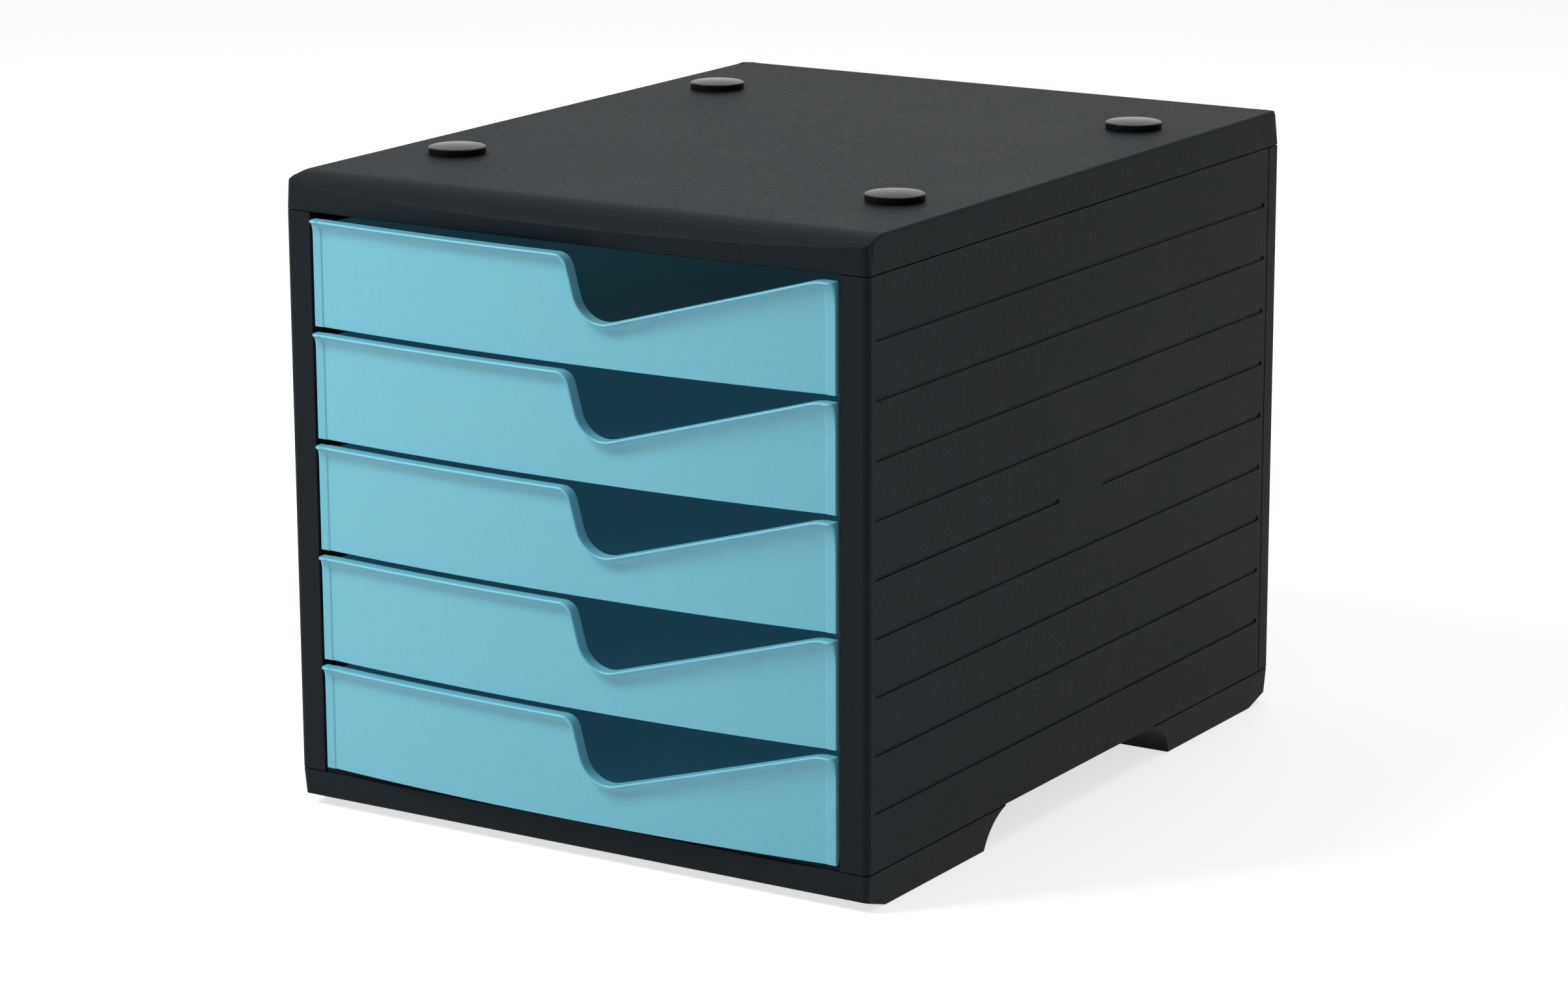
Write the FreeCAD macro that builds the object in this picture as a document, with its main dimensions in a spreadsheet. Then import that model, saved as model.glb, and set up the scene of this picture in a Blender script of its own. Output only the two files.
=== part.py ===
import FreeCAD, Part
import Sketcher
import math
import os

# A desktop drawer box: five open trays slide on rails moulded inside two side panels.
# The housing is five clipped mouldings with four stacking discs in the top cover.
# Frame: +Z up, +X to the right, the drawer fronts look along -Y. The origin lies on the
# floor in the middle of the box that holds the whole object.

V = FreeCAD.Vector
document = FreeCAD.newDocument("drawer_box")

# ---------------------------------------------------------------------------------------
# Driving dimensions, all in millimetres except the count
# ---------------------------------------------------------------------------------------
SIZES = [
    ("width", 275, "housing, outside, left to right"),
    ("depth", 345, "housing, outside, post face to back face"),
    ("wall", 2.5, "skins of the housing mouldings"),
    ("fit", 0.2, "gap all round where one moulding plugs into another"),
    ("joint", 0.5, "open line seen between the side panel and the rear panel"),
    ("corner", 3, "radius of the upright outer corners"),
    ("base_height", 16, "base moulding, floor to joint line"),
    ("base_draft", 5, "inward slope of the base sides, degrees"),
    ("floor_plate", 1.7, "floor plate of the base, above the joint line"),
    ("drawer_count", 5, "drawers in the stack"),
    ("tier_height", 46.6, "height from one drawer to the next"),
    ("floor_gap", 2, "joint line of the base up to the lowest drawer"),
    ("cover_height", 15, "top cover, joint line to top face"),
    ("cover_inset", 1, "how far the cover narrows on each side toward its top"),
    ("cover_round", 34, "radius that turns the top face down to the front"),
    ("cover_round_length", 15.5, "length of that round at the side faces"),
    ("cover_bow_low", 2, "forward bow of the cover's front, lower edge"),
    ("cover_bow_high", 9.5, "forward bow of the cover's front, carried up to the top face"),
    ("shadow_gap", 0.4, "open line between cover or base and the panels"),
    ("shadow_depth", 1, "how deep that line runs in from the outer faces"),
    ("tongue", 1.6, "thickness of the tongues that locate one moulding in the next"),
    ("tongue_height", 4, "length of those tongues"),
    ("post_width", 12.5, "face of the front post"),
    ("post_depth", 12, "front post, front to back"),
    ("post_wall", 2, "inner wall of the front post"),
    ("flange", 10, "side flange of the rear panel"),
    ("rail_thickness", 1.6, "thickness of a moulded rail"),
    ("ledge", 7, "how far a carrying rail reaches under its drawer"),
    ("rail_gap", 0.3, "running gap between a drawer and the rail under it"),
    ("guide_gap", 0.5, "running gap between a drawer's side and a rail"),
    ("groove_height", 1.7, "groove in the outer face, top to bottom"),
    ("groove_cut", 0.7, "groove depth"),
    ("groove_front", 6, "front end of the grooves, from the post face"),
    ("groove_back", 3, "rear end of the grooves, from the rear joint"),
    ("groove_break", 37.5, "bare field in the middle of the fifth groove"),
    ("foot_length", 93, "foot along the side, at the floor"),
    ("foot_width", 52, "foot from the side face inward"),
    ("foot_cove", 18, "how far the hollow end of a foot runs out under the panel"),
    ("toe_length", 16, "sloped toe at the front and back of a foot, along the side"),
    ("toe_height", 5, "height of that toe"),
    ("apron", 3, "thickness of the skirt between the feet"),
    ("disc_diameter", 24, "stacking disc"),
    ("disc_height", 3.5, "stacking disc above the top face"),
    ("disc_crown", 0.6, "rise of the disc's domed top"),
    ("disc_side", 32.5, "disc centre from the side face"),
    ("disc_end", 74, "disc centre from the front and back faces"),
    ("disc_stem", 8, "diameter of the stem under a disc"),
    ("disc_stem_length", 4.5, "length of that stem"),
    ("socket_gap", 1, "room round a disc in the foot of the box stacked above"),
    ("front_height", 44, "drawer front, bottom to rim"),
    ("front_gap", 1.5, "gap between a drawer front and a post"),
    ("front_wall", 2.5, "drawer front, thickness"),
    ("front_bow", 6, "forward bow of the drawer front"),
    ("front_strip", 4.5, "flat strip at each end of the drawer front"),
    ("rim_reach", 3.2, "how far the rim stands proud of the drawer front"),
    ("rim_height", 0.9, "thickness of the rim at its front edge"),
    ("rim_cove", 3.1, "hollow radius under the rim"),
    ("scoop_start", 5.3, "where the rim turns down, right of the middle"),
    ("scoop_low", 13.1, "lowest corner of the scoop, right of the middle"),
    ("scoop_floor", 15.2, "height of that corner"),
    ("scoop_end", 116, "where the slope meets the rim height again"),
    ("scoop_shoulder", 6.5, "radius at the start of the scoop"),
    ("scoop_radius", 13, "radius at the bottom of the scoop"),
    ("tray_inset", 3.5, "tray side behind the end of the drawer front"),
    ("tray_wall", 1.8, "tray sides and back"),
    ("tray_floor", 1.8, "tray floor"),
    ("tray_height", 42, "tray sides and back, height"),
    ("tray_corner", 5, "radius of the tray's rear corners"),
    ("tray_back_gap", 7.5, "room behind a closed tray"),
    ("stroke", 250, "travel of a drawer"),
    ("stop_length", 8, "stop lug on the tray side, front to back"),
    ("stop_height", 10, "stop lug, top to bottom"),
    ("stop_rise", 4, "stop lug above the tray's underside"),
    ("stop_reach", 7, "stop lug, out from the tray side"),
    ("stop_gap", 0.5, "room left between lug and post at full travel"),
]

sheet = document.addObject("Spreadsheet::Sheet", "Sizes")
for row, (alias, number, meaning) in enumerate(SIZES, start=1):
    sheet.set("A%d" % row, alias)
    sheet.set("B%d" % row, str(number))
    sheet.set("C%d" % row, meaning)
    sheet.setAlias("B%d" % row, alias)
document.recompute()

# Sizes that follow from the driving ones, as expressions on the sheet
HALF_WIDTH = "(Sizes.width / 2)"
INNER_SKIN = "(Sizes.width / 2 - Sizes.wall)"
POST_EDGE = "(Sizes.width / 2 - Sizes.post_width)"
JOINT_LOW = "Sizes.base_height"
DRAWER_LOW = "(Sizes.base_height + Sizes.floor_gap)"
JOINT_HIGH = "(Sizes.base_height + Sizes.floor_gap + Sizes.drawer_count * Sizes.tier_height)"
COVER_TOP = "(%s + Sizes.cover_height)" % JOINT_HIGH
FRONT_Y = "((Sizes.front_bow + Sizes.rim_reach - Sizes.depth) / 2)"
TONGUE_FACE = "(Sizes.width / 2 - Sizes.wall - Sizes.fit)"
FLANGE_FRONT = "(Sizes.depth - Sizes.flange)"
BACK_SKIN = "(Sizes.depth - Sizes.wall)"
FRONT_HALF = "(Sizes.width / 2 - Sizes.post_width - Sizes.front_gap)"
TRAY_HALF = "(Sizes.width / 2 - Sizes.post_width - Sizes.front_gap - Sizes.tray_inset)"
TRAY_BACK = "(Sizes.depth - Sizes.wall - Sizes.tray_back_gap)"
GROOVE_END = "(Sizes.depth - Sizes.flange - Sizes.joint - Sizes.groove_back)"
HALF_TIER = "(Sizes.tier_height / 2)"


# ---------------------------------------------------------------------------------------
# Helpers
# ---------------------------------------------------------------------------------------
def value(expression):
    """The number that an expression on the sheet has now."""
    result = sheet.evalExpression(str(expression))
    return float(getattr(result, "Value", result))


def size(alias):
    """A driving dimension as a number."""
    return float(getattr(sheet, alias))


def new_body(label):
    """An empty body whose frame has its Y zero at the post faces."""
    body = document.addObject("PartDesign::Body", label)
    body.Label = label
    body.setExpression(".Placement.Base.y", FRONT_Y)
    return body


def origin_plane(body, role):
    """One of a body's own origin planes or axes, by its role."""
    return [item for item in body.Origin.OriginFeatures if item.Role == role][0]


def closed_sketch(body, label, plane, corners, level="0", arcs=None):
    """A closed sketch through corners, each a pair of expressions.

    arcs maps the number of a side to (radius expression, middle point expressions):
    that side is then an arc of that radius instead of a straight line.
    """
    arcs = arcs or {}
    sketch = body.newObject("Sketcher::SketchObject", label)
    sketch.AttachmentSupport = [(origin_plane(body, plane), "")]
    sketch.MapMode = "FlatFace"
    sketch.setExpression(".AttachmentOffset.Base.z", str(level))
    points = [V(value(across), value(up), 0) for across, up in corners]
    count = len(points)
    for number, start in enumerate(points):
        end = points[(number + 1) % count]
        if number in arcs:
            middle = V(value(arcs[number][1][0]), value(arcs[number][1][1]), 0)
            sketch.addGeometry(Part.Arc(start, middle, end), False)
        else:
            sketch.addGeometry(Part.LineSegment(start, end), False)
    # an arc may store its ends the other way round, so ends are found by place
    ends = []
    for number, start in enumerate(points):
        first = sketch.getPoint(number, 1)
        ends.append((1, 2) if first.distanceToPoint(start) < 1e-6 else (2, 1))
    for number in range(count):
        following = (number + 1) % count
        sketch.addConstraint(Sketcher.Constraint(
            "Coincident", number, ends[number][1], following, ends[following][0]))
    for number, (across, up) in enumerate(corners):
        for axis, expression, now in (("X", across, points[number].x), ("Y", up, points[number].y)):
            index = sketch.addConstraint(Sketcher.Constraint(
                "Distance" + axis, -1, 1, number, ends[number][0], now))
            sketch.setExpression("Constraints[%d]" % index, str(expression))
    for number, (radius, middle) in arcs.items():
        index = sketch.addConstraint(Sketcher.Constraint("Radius", number, value(radius)))
        sketch.setExpression("Constraints[%d]" % index, str(radius))
    return sketch


def circle_sketch(body, label, plane, centres, diameter, level="0"):
    """A sketch of equal circles at centres, each a pair of expressions."""
    sketch = body.newObject("Sketcher::SketchObject", label)
    sketch.AttachmentSupport = [(origin_plane(body, plane), "")]
    sketch.MapMode = "FlatFace"
    sketch.setExpression(".AttachmentOffset.Base.z", str(level))
    for number, (across, up) in enumerate(centres):
        middle = V(value(across), value(up), 0)
        sketch.addGeometry(Part.Circle(middle, V(0, 0, 1), value(diameter) / 2), False)
        for axis, expression, now in (("X", across, middle.x), ("Y", up, middle.y)):
            index = sketch.addConstraint(Sketcher.Constraint(
                "Distance" + axis, -1, 1, number, 3, now))
            sketch.setExpression("Constraints[%d]" % index, str(expression))
        index = sketch.addConstraint(Sketcher.Constraint("Diameter", number, value(diameter)))
        sketch.setExpression("Constraints[%d]" % index, str(diameter))
    return sketch


def rounded_plan(body, label, half, front, back, level="0", bow=None):
    """A plan outline with four round corners; its front side may bow forward."""
    turn = "Sizes.corner"
    near = "(%s - %s)" % (half, turn)
    fore = "(%s + %s)" % (front, turn)
    aft = "(%s - %s)" % (back, turn)
    slack = "(%s * (1 - sqrt(0.5)))" % turn
    corners = [
        (half, fore), (half, aft), (near, back), ("-" + near, back),
        ("-" + half, aft), ("-" + half, fore), ("-" + near, front), (near, front),
    ]
    side = "(%s - %s)" % (half, slack)
    ahead = "(%s + %s)" % (front, slack)
    behind = "(%s - %s)" % (back, slack)
    arcs = {
        1: (turn, (side, behind)),
        3: (turn, ("-" + side, behind)),
        5: (turn, ("-" + side, ahead)),
        7: (turn, (side, ahead)),
    }
    if bow is not None:
        arcs[6] = (bow_radius(near, bow), ("0", "%s - %s" % (front, bow)))
    return closed_sketch(body, label, "XY_Plane", corners, level=level, arcs=arcs)


def pad(body, label, sketch, length, backward=False, slope=None):
    """Material added from a sketch."""
    feature = body.newObject("PartDesign::Pad", label)
    feature.Profile = sketch
    feature.setExpression("Length", str(length))
    feature.Reversed = backward
    if slope is not None:
        feature.setExpression("TaperAngle", str(slope))
    sketch.Visibility = False
    document.recompute()
    return feature


def pocket(body, label, sketch, length, backward=False, through=False):
    """Material cut away from a sketch; a cut that removes nothing is an error."""
    before = body.Shape.Volume
    feature = body.newObject("PartDesign::Pocket", label)
    feature.Profile = sketch
    if through:
        feature.SideType = "Symmetric"
        feature.setExpression("Length", "2 * Sizes.width")
    else:
        feature.setExpression("Length", str(length))
        feature.Reversed = backward
    sketch.Visibility = False
    document.recompute()
    if "Invalid" in feature.State or body.Shape.Volume > before - 1e-3:
        raise RuntimeError("%s cuts nothing: %s" % (label, feature.getStatusString()))
    return feature


def repeat(body, label, feature, axis, count, spacing):
    """Copies of a feature along one of the body's axes, evenly spaced."""
    pattern = body.newObject("PartDesign::LinearPattern", label)
    pattern.Originals = [feature]
    pattern.Direction = (origin_plane(body, axis), [""])
    pattern.Mode = "Spacing"
    pattern.setExpression("Occurrences", str(count))
    pattern.setExpression("Offset", str(spacing))
    body.Tip = pattern
    document.recompute()
    return pattern


def fillet(body, label, radius, chosen):
    """Rounds the edges of a body's shape for which chosen(edge) is true."""
    names = ["Edge%d" % number for number, edge in enumerate(body.Tip.Shape.Edges, start=1) if chosen(edge)]
    if not names:
        raise RuntimeError("%s finds no edge on %s" % (label, body.Label))
    carrier = body.Tip
    feature = body.newObject("PartDesign::Fillet", label)
    feature.Base = (carrier, names)
    feature.setExpression("Radius", str(radius))
    document.recompute()
    if "Invalid" in feature.State:
        raise RuntimeError("%s fails: %s" % (label, feature.getStatusString()))
    return feature


def upright_at(across, along, tolerance=0.05):
    """A test for upright edges that stand at one place in plan."""
    def chosen(edge):
        low, high = edge.Vertexes[0].Point, edge.Vertexes[-1].Point
        in_line = abs(low.x - high.x) + abs(low.y - high.y) < tolerance
        return in_line and abs(abs(low.x) - across) < tolerance and abs(low.y - along) < tolerance
    return chosen


def bow_radius(half_chord, bow):
    """Radius of an arc with this half chord and this rise, as an expression."""
    return "((%s)^2 + (%s)^2) / (2 * (%s))" % (half_chord, bow, bow)


# ---------------------------------------------------------------------------------------
# Housing
# ---------------------------------------------------------------------------------------
def side_panel(label, side):
    """A side panel: skin with front post, rear tongue, nine inner rails and outer grooves.

    side is 1 for the right panel and -1 for the left one.
    """
    def out(distance):
        return "%d * %s" % (side, distance)

    body = new_body(label)
    post_inside = "(%s + Sizes.post_wall)" % POST_EDGE
    tongue_inside = "(%s - Sizes.tongue)" % TONGUE_FACE
    skin_end = "(%s - Sizes.joint)" % FLANGE_FRONT
    tongue_end = "(%s - Sizes.fit)" % BACK_SKIN
    step = "(%s - Sizes.joint - Sizes.flange / 2)" % FLANGE_FRONT
    plan = closed_sketch(body, label + "_plan", "XY_Plane", [
        (out(HALF_WIDTH), "0"),
        (out(HALF_WIDTH), skin_end),
        (out(TONGUE_FACE), skin_end),
        (out(TONGUE_FACE), tongue_end),
        (out(tongue_inside), tongue_end),
        (out(tongue_inside), step),
        (out(INNER_SKIN), step),
        (out(INNER_SKIN), "Sizes.wall"),
        (out(post_inside), "Sizes.wall"),
        (out(post_inside), "Sizes.post_depth"),
        (out(POST_EDGE), "Sizes.post_depth"),
        (out(POST_EDGE), "0"),
    ], level=JOINT_LOW)
    pad(body, label + "_skin", plan, "%s - %s" % (JOINT_HIGH, JOINT_LOW))
    fillet(body, label + "_corner", "Sizes.corner", upright_at(value(HALF_WIDTH), 0))

    # rails: every one guides the side of a tray, every second one also carries a tray
    rail_top = "(%s - Sizes.rail_gap)" % DRAWER_LOW
    rail_front = "(Sizes.post_depth + Sizes.joint)"
    first_top = "(%s + %s)" % (rail_top, HALF_TIER)
    guide_reach = "(%s - %s - Sizes.guide_gap)" % (INNER_SKIN, TRAY_HALF)
    profile = closed_sketch(body, label + "_rail_section", "YZ_Plane", [
        (rail_front, first_top),
        (step, first_top),
        (step, first_top + " - Sizes.rail_thickness"),
        (rail_front, first_top + " - Sizes.rail_thickness"),
    ], level=out(INNER_SKIN))
    rail = pad(body, label + "_rail", profile, guide_reach, backward=side > 0)
    repeat(body, label + "_rails", rail, "Z_Axis", "2 * Sizes.drawer_count - 1", HALF_TIER)
    carrier_top = "(%s + Sizes.tier_height)" % rail_top
    profile = closed_sketch(body, label + "_carrier_section", "YZ_Plane", [
        (rail_front, carrier_top),
        (step, carrier_top),
        (step, carrier_top + " - Sizes.rail_thickness"),
        (rail_front, carrier_top + " - Sizes.rail_thickness"),
    ], level=out(INNER_SKIN))
    carrier = pad(body, label + "_carrier", profile,
                  "%s - %s + Sizes.ledge" % (INNER_SKIN, TRAY_HALF), backward=side > 0)
    repeat(body, label + "_carriers", carrier, "Z_Axis", "Sizes.drawer_count - 1", "Sizes.tier_height")

    # grooves: opposite the rails, the middle one broken by a bare field
    def groove(name, start, end, centre):
        section = closed_sketch(body, name + "_section", "YZ_Plane", [
            (start, centre + " + Sizes.groove_height / 2"),
            (end, centre + " + Sizes.groove_height / 2"),
            (end, centre + " - Sizes.groove_height / 2"),
            (start, centre + " - Sizes.groove_height / 2"),
        ], level=out(HALF_WIDTH))
        return pocket(body, name, section, "Sizes.groove_cut", backward=side < 0)

    groove_one = "(%s - Sizes.rail_thickness / 2)" % first_top
    middle_groove = "(%s + (Sizes.drawer_count - 1) * %s)" % (groove_one, HALF_TIER)
    upper_groove = "(%s + Sizes.drawer_count * %s)" % (groove_one, HALF_TIER)
    break_start = "((Sizes.groove_front + %s - Sizes.groove_break) / 2)" % GROOVE_END
    break_end = "((Sizes.groove_front + %s + Sizes.groove_break) / 2)" % GROOVE_END
    lower = groove(label + "_lower_groove", "Sizes.groove_front", GROOVE_END, groove_one)
    repeat(body, label + "_lower_grooves", lower, "Z_Axis", "Sizes.drawer_count - 1", HALF_TIER)
    upper = groove(label + "_upper_groove", "Sizes.groove_front", GROOVE_END, upper_groove)
    repeat(body, label + "_upper_grooves", upper, "Z_Axis", "Sizes.drawer_count - 1", HALF_TIER)
    groove(label + "_front_half_groove", "Sizes.groove_front", break_start, middle_groove)
    groove(label + "_rear_half_groove", break_end, GROOVE_END, middle_groove)
    return body


def rear_panel():
    """The rear panel: a sheet whose side flanges wrap round over the side panels' tongues."""
    body = new_body("rear_panel")
    plan = closed_sketch(body, "rear_panel_plan", "XY_Plane", [
        (HALF_WIDTH, FLANGE_FRONT),
        (HALF_WIDTH, "Sizes.depth"),
        ("-" + HALF_WIDTH, "Sizes.depth"),
        ("-" + HALF_WIDTH, FLANGE_FRONT),
        ("-" + INNER_SKIN, FLANGE_FRONT),
        ("-" + INNER_SKIN, BACK_SKIN),
        (INNER_SKIN, BACK_SKIN),
        (INNER_SKIN, FLANGE_FRONT),
    ], level=JOINT_LOW)
    pad(body, "rear_panel_skin", plan, "%s - %s" % (JOINT_HIGH, JOINT_LOW))
    fillet(body, "rear_panel_corners", "Sizes.corner",
           upright_at(value(HALF_WIDTH), size("depth")))
    return body


def top_cover():
    """The top cover: a tapered shell whose top rounds down to a bowed front edge."""
    body = new_body("top_cover")

    def outline(name, half, back, bow, level):
        return rounded_plan(body, name, half, "0", back, level=level, bow=bow)

    seam = "(%s + Sizes.shadow_gap)" % JOINT_HIGH
    low = outline("cover_low", HALF_WIDTH, "Sizes.depth", "Sizes.cover_bow_low", seam)
    high = outline("cover_high", "(Sizes.width / 2 - Sizes.cover_inset)",
                   "(Sizes.depth - Sizes.cover_inset)", "Sizes.cover_bow_high", COVER_TOP)
    loft = body.newObject("PartDesign::AdditiveLoft", "cover_block")
    loft.Profile = low
    loft.Sections = [high]
    loft.Ruled = True
    low.Visibility = False
    high.Visibility = False
    document.recompute()

    # the round that turns the top face down to the front
    reach = "(Sizes.cover_bow_high + Sizes.corner)"
    drop = "(Sizes.cover_round - sqrt(Sizes.cover_round^2 - (Sizes.cover_round_length + %s)^2))" % reach
    half_length = "((Sizes.cover_round_length + %s) / 2)" % reach
    half_drop = "(Sizes.cover_round - sqrt(Sizes.cover_round^2 - %s^2))" % half_length
    profile = closed_sketch(body, "cover_round_section", "YZ_Plane", [
        ("Sizes.cover_round_length", COVER_TOP),
        ("-" + reach, "%s - %s" % (COVER_TOP, drop)),
        ("-" + reach, COVER_TOP + " + Sizes.wall"),
        ("Sizes.cover_round_length", COVER_TOP + " + Sizes.wall"),
    ], arcs={0: ("Sizes.cover_round",
                 ("(Sizes.cover_round_length - %s) / 2" % reach, "%s - %s" % (COVER_TOP, half_drop)))})
    pocket(body, "cover_round_cut", profile, None, through=True)

    # the foot that seats on the panels, set back behind an open line
    seat = rounded_plan(body, "cover_seat_plan", "(%s - Sizes.shadow_depth)" % HALF_WIDTH,
                        "Sizes.shadow_depth", "(Sizes.depth - Sizes.shadow_depth)",
                        level=JOINT_HIGH, bow="Sizes.cover_bow_low")
    pad(body, "cover_seat", seat, "Sizes.shadow_gap + Sizes.wall / 2")

    # hollow underside: shallow behind the front edge, full height under the flat top
    hollow_half = INNER_SKIN
    shallow_front = "(Sizes.wall + Sizes.fit)"
    deep_front = "(Sizes.cover_round_length - Sizes.wall * 2)"
    shallow = closed_sketch(body, "cover_shallow", "XY_Plane", [
        (hollow_half, shallow_front), (hollow_half, BACK_SKIN),
        ("-" + hollow_half, BACK_SKIN), ("-" + hollow_half, shallow_front),
    ], level=JOINT_HIGH)
    pocket(body, "cover_shallow_hollow", shallow, "Sizes.cover_height / 2", backward=True)
    deep = closed_sketch(body, "cover_deep", "XY_Plane", [
        (hollow_half, deep_front), (hollow_half, BACK_SKIN),
        ("-" + hollow_half, BACK_SKIN), ("-" + hollow_half, deep_front),
    ], level=JOINT_HIGH)
    pocket(body, "cover_deep_hollow", deep, "Sizes.cover_height - Sizes.wall", backward=True)

    # tongues that drop inside the side panels and the rear panel
    for name, sign in (("right", ""), ("left", "-")):
        outer = sign + TONGUE_FACE
        inner = sign + "(%s - Sizes.tongue)" % TONGUE_FACE
        front = "(Sizes.post_depth + Sizes.wall)"
        back = "(%s - Sizes.flange)" % FLANGE_FRONT
        strip = closed_sketch(body, "cover_tongue_plan_" + name, "XY_Plane", [
            (outer, front), (outer, back), (inner, back), (inner, front),
        ], level="%s - Sizes.tongue_height" % JOINT_HIGH)
        pad(body, "cover_tongue_" + name, strip,
            "Sizes.tongue_height + Sizes.cover_height - Sizes.wall / 2")
    strip = closed_sketch(body, "cover_tongue_plan_back", "XY_Plane", [
        (POST_EDGE, "(%s - Sizes.fit)" % BACK_SKIN),
        ("-" + POST_EDGE, "(%s - Sizes.fit)" % BACK_SKIN),
        ("-" + POST_EDGE, "(%s - Sizes.fit - Sizes.tongue)" % BACK_SKIN),
        (POST_EDGE, "(%s - Sizes.fit - Sizes.tongue)" % BACK_SKIN),
    ], level="%s - Sizes.tongue_height" % JOINT_HIGH)
    pad(body, "cover_tongue_back", strip, "Sizes.tongue_height + Sizes.cover_height - Sizes.wall / 2")

    # holes for the stems of the stacking discs
    holes = circle_sketch(body, "cover_hole_plan", "XY_Plane", disc_places(),
                          "Sizes.disc_stem + 2 * Sizes.fit", level=COVER_TOP)
    pocket(body, "cover_holes", holes, "Sizes.wall * 2")
    return body


def disc_places():
    """Centres of the four stacking discs in plan, as expressions."""
    across = "(Sizes.width / 2 - Sizes.disc_side)"
    return [(sign + across, along) for along in ("Sizes.disc_end", "(Sizes.depth - Sizes.disc_end)")
            for sign in ("-", "")]


def base():
    """The base: a floor plate between the panels on four feet joined by aprons."""
    body = new_body("base")
    seam = "(%s - Sizes.shadow_gap)" % JOINT_LOW
    block = rounded_plan(body, "base_plan", HALF_WIDTH, "0", "Sizes.depth", level=seam)
    pad(body, "base_block", block, seam, backward=True, slope="-Sizes.base_draft")

    # the step that carries the panels, set back behind an open line
    seat = rounded_plan(body, "base_seat_plan", "(%s - Sizes.shadow_depth)" % HALF_WIDTH,
                        "Sizes.shadow_depth", "(Sizes.depth - Sizes.shadow_depth)", level=JOINT_LOW)
    pad(body, "base_seat", seat, "Sizes.shadow_gap + Sizes.wall / 2", backward=True)

    # toes: the underside slopes up to the front face and to the back face
    for name, start, sign in (("front", "0", ""), ("back", "Sizes.depth", "-")):
        inside = "%s + %sSizes.toe_length" % (start, sign)
        outside = "%s - %sSizes.toe_length" % (start, sign)
        toe = closed_sketch(body, "base_toe_%s_section" % name, "YZ_Plane", [
            (inside, "0"),
            (start, "Sizes.toe_height"),
            (outside, "Sizes.toe_height"),
            (outside, "-Sizes.toe_height"),
            (inside, "-Sizes.toe_height"),
        ])
        pocket(body, "base_toe_" + name, toe, None, through=True)

    # the gap between the feet along each side, with coved ends
    cove_top = "Sizes.base_height"
    foot_end = "Sizes.foot_length"
    far_foot = "(Sizes.depth - Sizes.foot_length)"
    near_top = "(Sizes.foot_length + Sizes.foot_cove)"
    far_top = "(Sizes.depth - Sizes.foot_length - Sizes.foot_cove)"
    radius = "Sizes.foot_cove * 1.25"
    between = closed_sketch(body, "base_between_section", "YZ_Plane", [
        (foot_end, "-Sizes.toe_height"),
        (foot_end, "0"),
        (near_top, cove_top),
        (far_top, cove_top),
        (far_foot, "0"),
        (far_foot, "-Sizes.toe_height"),
    ], arcs={
        1: (radius, cove_middle(foot_end, near_top, 1)),
        3: (radius, cove_middle(far_foot, far_top, -1)),
    })
    pocket(body, "base_between", between, None, through=True)

    # the open middle under the floor, between the left and right feet
    inner_foot = "(Sizes.width / 2 - Sizes.foot_width)"
    middle = closed_sketch(body, "base_middle_plan", "XY_Plane", [
        (inner_foot, "Sizes.apron + Sizes.wall"), (inner_foot, "(Sizes.depth - Sizes.apron - Sizes.wall)"),
        ("-" + inner_foot, "(Sizes.depth - Sizes.apron - Sizes.wall)"),
        ("-" + inner_foot, "Sizes.apron + Sizes.wall"),
    ], level=JOINT_LOW)
    pocket(body, "base_middle", middle, "Sizes.base_height")

    # the floor plate, notched round the posts and the panels' rear tongues
    narrow = "(%s - Sizes.fit)" % POST_EDGE
    wide = "(%s - Sizes.tongue - Sizes.fit * 2)" % TONGUE_FACE
    notch = "(Sizes.post_depth + Sizes.fit)"
    plate_front = "Sizes.wall / 2"
    plate_back = "(%s - Sizes.fit)" % BACK_SKIN
    plate = closed_sketch(body, "base_floor_plan", "XY_Plane", [
        (narrow, plate_front), (narrow, notch), (wide, notch), (wide, plate_back),
        ("-" + wide, plate_back), ("-" + wide, notch), ("-" + narrow, notch), ("-" + narrow, plate_front),
    ], level=JOINT_LOW)
    pad(body, "base_floor", plate, "Sizes.floor_plate")

    # sockets that drop over the discs of a box below
    sockets = circle_sketch(body, "base_socket_plan", "XY_Plane", disc_places(),
                            "Sizes.disc_diameter + 2 * Sizes.socket_gap")
    pocket(body, "base_sockets", sockets, "Sizes.disc_height + Sizes.fit", backward=True)
    return body


def cove_middle(bottom, top, direction):
    """A point near the middle of a foot's coved end, as expressions."""
    return ("(%s + %s) / 2 - %d * Sizes.foot_cove / 8" % (bottom, top, direction),
            "Sizes.base_height / 2 + Sizes.foot_cove / 8")


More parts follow.
